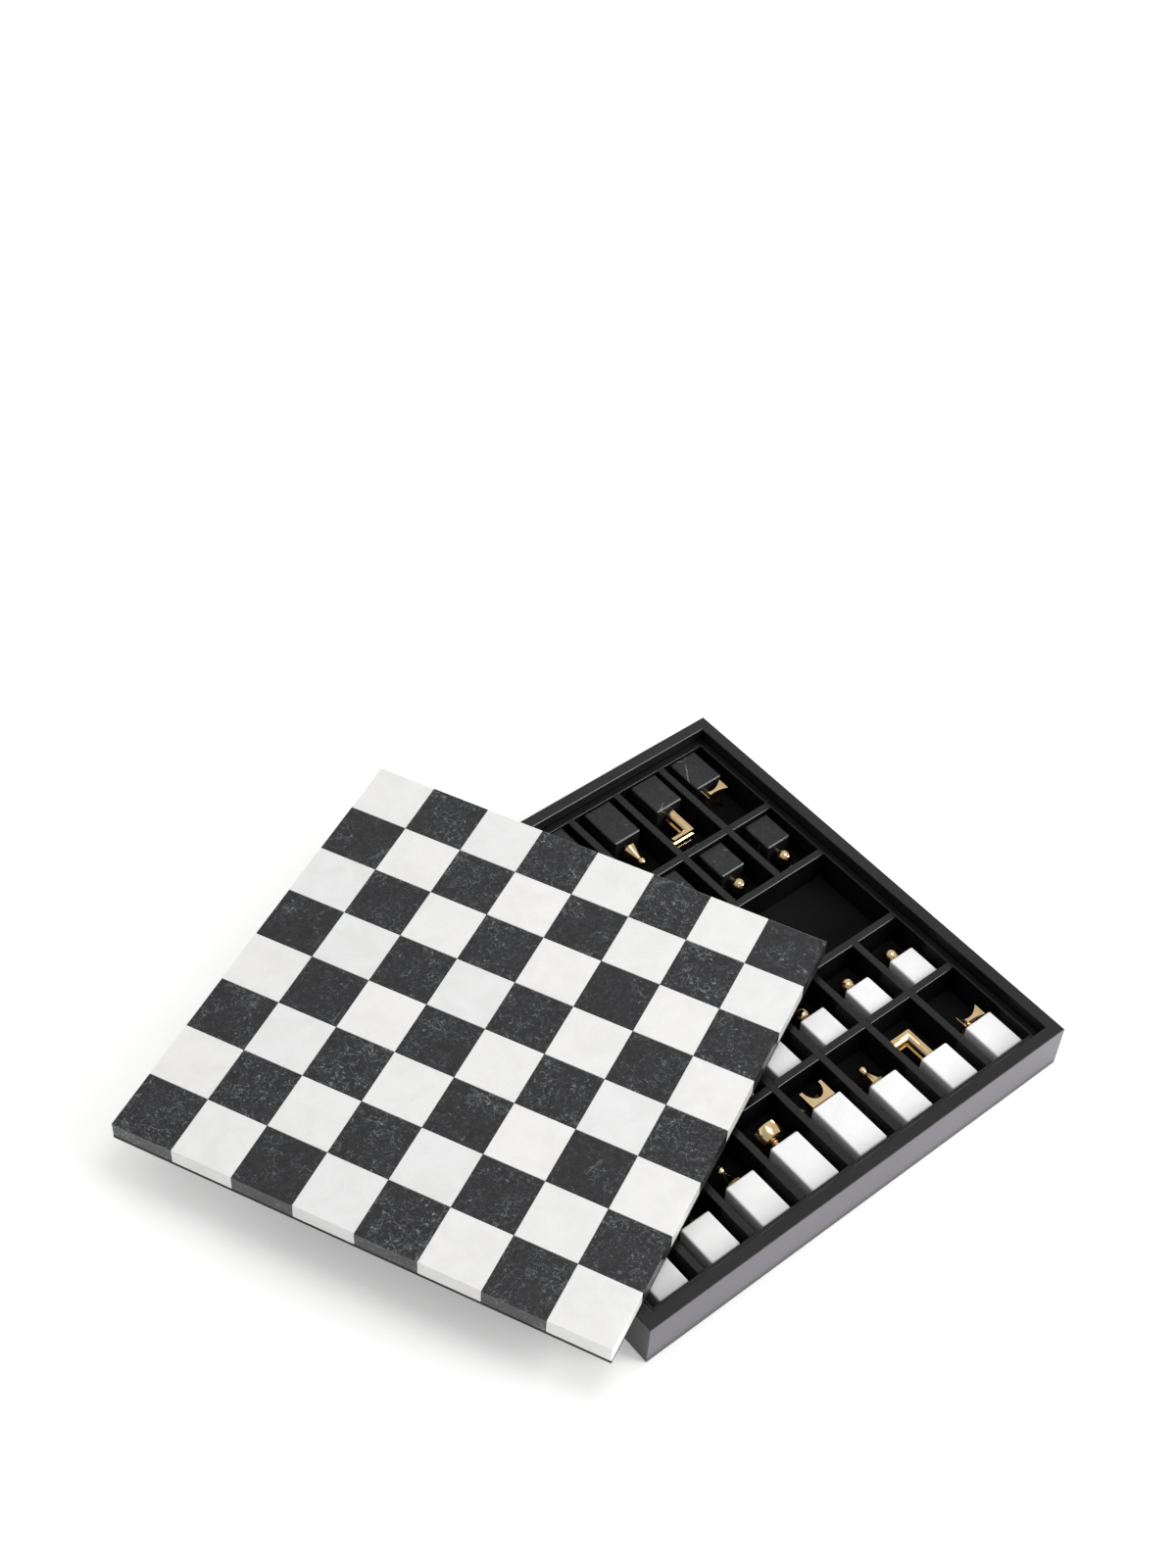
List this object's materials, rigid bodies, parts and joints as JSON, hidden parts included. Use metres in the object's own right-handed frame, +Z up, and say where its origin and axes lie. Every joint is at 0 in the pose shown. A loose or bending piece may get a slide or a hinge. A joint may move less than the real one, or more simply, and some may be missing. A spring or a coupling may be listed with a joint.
{
  "type": "chess set",
  "caption": "Square lacquered storage box with a divider lattice, stone block chess pieces with brass toppers, and a loose tiled stone board lying askew on the rim.",
  "frame": {"origin": "centre of the box's underside, on the surface that it stands on", "axes": "+Z up; X along the rows of compartments; +Y from the white pieces' side to the black pieces' side"},
  "size_m": [0.6241, 0.5262, 0.06],
  "materials": {
    "lacquered_wood": "satin black lacquer",
    "wrapped_wood": "satin charcoal lacquer",
    "felt": "short black pile",
    "backing": "matt black board",
    "white_marble": "honed, faint veins",
    "black_marble": "polished, pale veins",
    "brass": "polished"
  },
  "bodies": {
    "box": {"frame_side_front": "lacquered_wood", "frame_side_right": "lacquered_wood", "frame_side_back": "lacquered_wood", "frame_side_left": "lacquered_wood", "base_panel": "lacquered_wood", "floor_lining": "felt", "liner_frame": "wrapped_wood", "long_rails": "wrapped_wood", "cross_dividers": "wrapped_wood"},
    "board": {"board_backing": "backing", "light_tiles": "white_marble", "dark_tiles": "black_marble"},
    "white_rook_a": {"white_rook_a_block": "white_marble", "white_rook_a_topper": "brass"},
    "white_knight_b": {"white_knight_b_block": "white_marble", "white_knight_b_topper": "brass"},
    "white_bishop_c": {"white_bishop_c_block": "white_marble", "white_bishop_c_topper": "brass"},
    "white_queen": {"white_queen_block": "white_marble", "white_queen_topper": "brass"},
    "white_king": {"white_king_block": "white_marble", "white_king_topper": "brass"},
    "white_bishop_f": {"white_bishop_f_block": "white_marble", "white_bishop_f_topper": "brass"},
    "white_knight_g": {"white_knight_g_block": "white_marble", "white_knight_g_topper": "brass"},
    "white_rook_h": {"white_rook_h_block": "white_marble", "white_rook_h_topper": "brass"},
    "white_pawn_a": {"white_pawn_a": "white_marble"},
    "white_pawn_b": {"white_pawn_b": "white_marble"},
    "white_pawn_c": {"white_pawn_c": "white_marble"},
    "white_pawn_d": {"white_pawn_d": "white_marble"},
    "white_pawn_e": {"white_pawn_e": "white_marble"},
    "white_pawn_f": {"white_pawn_f": "white_marble"},
    "white_pawn_g": {"white_pawn_g": "white_marble"},
    "white_pawn_h": {"white_pawn_h": "white_marble"},
    "black_rook_a": {"black_rook_a_block": "black_marble", "black_rook_a_topper": "brass"},
    "black_knight_b": {"black_knight_b_block": "black_marble", "black_knight_b_topper": "brass"},
    "black_bishop_c": {"black_bishop_c_block": "black_marble", "black_bishop_c_topper": "brass"},
    "black_queen": {"black_queen_block": "black_marble", "black_queen_topper": "brass"},
    "black_king": {"black_king_block": "black_marble", "black_king_topper": "brass"},
    "black_bishop_f": {"black_bishop_f_block": "black_marble", "black_bishop_f_topper": "brass"},
    "black_knight_g": {"black_knight_g_block": "black_marble", "black_knight_g_topper": "brass"},
    "black_rook_h": {"black_rook_h_block": "black_marble", "black_rook_h_topper": "brass"},
    "black_pawn_a": {"black_pawn_a": "black_marble"},
    "black_pawn_b": {"black_pawn_b": "black_marble"},
    "black_pawn_c": {"black_pawn_c": "black_marble"},
    "black_pawn_d": {"black_pawn_d": "black_marble"},
    "black_pawn_e": {"black_pawn_e": "black_marble"},
    "black_pawn_f": {"black_pawn_f": "black_marble"},
    "black_pawn_g": {"black_pawn_g": "black_marble"},
    "black_pawn_h": {"black_pawn_h": "black_marble"}
  },
  "joints": [
    {"name": "board_lift", "type": "slide", "parent": "box", "child": "board", "axis": [0, 0, 1], "range_m": [0, 0.24]},
    {"name": "white_rook_a_lift", "type": "slide", "parent": "box", "child": "white_rook_a", "axis": [0, 0, 1], "range_m": [0, 0.12]},
    {"name": "white_knight_b_lift", "type": "slide", "parent": "box", "child": "white_knight_b", "axis": [0, 0, 1], "range_m": [0, 0.12]},
    {"name": "white_bishop_c_lift", "type": "slide", "parent": "box", "child": "white_bishop_c", "axis": [0, 0, 1], "range_m": [0, 0.12]},
    {"name": "white_queen_lift", "type": "slide", "parent": "box", "child": "white_queen", "axis": [0, 0, 1], "range_m": [0, 0.12]},
    {"name": "white_king_lift", "type": "slide", "parent": "box", "child": "white_king", "axis": [0, 0, 1], "range_m": [0, 0.12]},
    {"name": "white_bishop_f_lift", "type": "slide", "parent": "box", "child": "white_bishop_f", "axis": [0, 0, 1], "range_m": [0, 0.12]},
    {"name": "white_knight_g_lift", "type": "slide", "parent": "box", "child": "white_knight_g", "axis": [0, 0, 1], "range_m": [0, 0.12]},
    {"name": "white_rook_h_lift", "type": "slide", "parent": "box", "child": "white_rook_h", "axis": [0, 0, 1], "range_m": [0, 0.12]},
    {"name": "white_pawn_a_lift", "type": "slide", "parent": "box", "child": "white_pawn_a", "axis": [0, 0, 1], "range_m": [0, 0.12]},
    {"name": "white_pawn_b_lift", "type": "slide", "parent": "box", "child": "white_pawn_b", "axis": [0, 0, 1], "range_m": [0, 0.12]},
    {"name": "white_pawn_c_lift", "type": "slide", "parent": "box", "child": "white_pawn_c", "axis": [0, 0, 1], "range_m": [0, 0.12]},
    {"name": "white_pawn_d_lift", "type": "slide", "parent": "box", "child": "white_pawn_d", "axis": [0, 0, 1], "range_m": [0, 0.12]},
    {"name": "white_pawn_e_lift", "type": "slide", "parent": "box", "child": "white_pawn_e", "axis": [0, 0, 1], "range_m": [0, 0.12]},
    {"name": "white_pawn_f_lift", "type": "slide", "parent": "box", "child": "white_pawn_f", "axis": [0, 0, 1], "range_m": [0, 0.12]},
    {"name": "white_pawn_g_lift", "type": "slide", "parent": "box", "child": "white_pawn_g", "axis": [0, 0, 1], "range_m": [0, 0.12]},
    {"name": "white_pawn_h_lift", "type": "slide", "parent": "box", "child": "white_pawn_h", "axis": [0, 0, 1], "range_m": [0, 0.12]},
    {"name": "black_rook_a_lift", "type": "slide", "parent": "box", "child": "black_rook_a", "axis": [0, 0, 1], "range_m": [0, 0.12]},
    {"name": "black_knight_b_lift", "type": "slide", "parent": "box", "child": "black_knight_b", "axis": [0, 0, 1], "range_m": [0, 0.12]},
    {"name": "black_bishop_c_lift", "type": "slide", "parent": "box", "child": "black_bishop_c", "axis": [0, 0, 1], "range_m": [0, 0.12]},
    {"name": "black_queen_lift", "type": "slide", "parent": "box", "child": "black_queen", "axis": [0, 0, 1], "range_m": [0, 0.12]},
    {"name": "black_king_lift", "type": "slide", "parent": "box", "child": "black_king", "axis": [0, 0, 1], "range_m": [0, 0.12]},
    {"name": "black_bishop_f_lift", "type": "slide", "parent": "box", "child": "black_bishop_f", "axis": [0, 0, 1], "range_m": [0, 0.12]},
    {"name": "black_knight_g_lift", "type": "slide", "parent": "box", "child": "black_knight_g", "axis": [0, 0, 1], "range_m": [0, 0.12]},
    {"name": "black_rook_h_lift", "type": "slide", "parent": "box", "child": "black_rook_h", "axis": [0, 0, 1], "range_m": [0, 0.12]},
    {"name": "black_pawn_a_lift", "type": "slide", "parent": "box", "child": "black_pawn_a", "axis": [0, 0, 1], "range_m": [0, 0.12]},
    {"name": "black_pawn_b_lift", "type": "slide", "parent": "box", "child": "black_pawn_b", "axis": [0, 0, 1], "range_m": [0, 0.12]},
    {"name": "black_pawn_c_lift", "type": "slide", "parent": "box", "child": "black_pawn_c", "axis": [0, 0, 1], "range_m": [0, 0.12]},
    {"name": "black_pawn_d_lift", "type": "slide", "parent": "box", "child": "black_pawn_d", "axis": [0, 0, 1], "range_m": [0, 0.12]},
    {"name": "black_pawn_e_lift", "type": "slide", "parent": "box", "child": "black_pawn_e", "axis": [0, 0, 1], "range_m": [0, 0.12]},
    {"name": "black_pawn_f_lift", "type": "slide", "parent": "box", "child": "black_pawn_f", "axis": [0, 0, 1], "range_m": [0, 0.12]},
    {"name": "black_pawn_g_lift", "type": "slide", "parent": "box", "child": "black_pawn_g", "axis": [0, 0, 1], "range_m": [0, 0.12]},
    {"name": "black_pawn_h_lift", "type": "slide", "parent": "box", "child": "black_pawn_h", "axis": [0, 0, 1], "range_m": [0, 0.12]}
  ],
  "couplings": [
    {"joint": "white_rook_a_lift", "follows": "board_lift", "ratio": 0.5},
    {"joint": "white_knight_b_lift", "follows": "board_lift", "ratio": 0.5},
    {"joint": "white_bishop_c_lift", "follows": "board_lift", "ratio": 0.5},
    {"joint": "white_pawn_a_lift", "follows": "board_lift", "ratio": 0.5},
    {"joint": "white_pawn_b_lift", "follows": "board_lift", "ratio": 0.5},
    {"joint": "white_pawn_c_lift", "follows": "board_lift", "ratio": 0.5},
    {"joint": "white_pawn_d_lift", "follows": "board_lift", "ratio": 0.5},
    {"joint": "white_pawn_e_lift", "follows": "board_lift", "ratio": 0.5},
    {"joint": "white_pawn_f_lift", "follows": "board_lift", "ratio": 0.5},
    {"joint": "black_rook_a_lift", "follows": "board_lift", "ratio": 0.5},
    {"joint": "black_knight_b_lift", "follows": "board_lift", "ratio": 0.5},
    {"joint": "black_bishop_c_lift", "follows": "board_lift", "ratio": 0.5},
    {"joint": "black_queen_lift", "follows": "board_lift", "ratio": 0.5},
    {"joint": "black_king_lift", "follows": "board_lift", "ratio": 0.5},
    {"joint": "black_pawn_a_lift", "follows": "board_lift", "ratio": 0.5},
    {"joint": "black_pawn_b_lift", "follows": "board_lift", "ratio": 0.5},
    {"joint": "black_pawn_c_lift", "follows": "board_lift", "ratio": 0.5},
    {"joint": "black_pawn_d_lift", "follows": "board_lift", "ratio": 0.5},
    {"joint": "black_pawn_e_lift", "follows": "board_lift", "ratio": 0.5},
    {"joint": "black_pawn_f_lift", "follows": "board_lift", "ratio": 0.5}
  ]
}
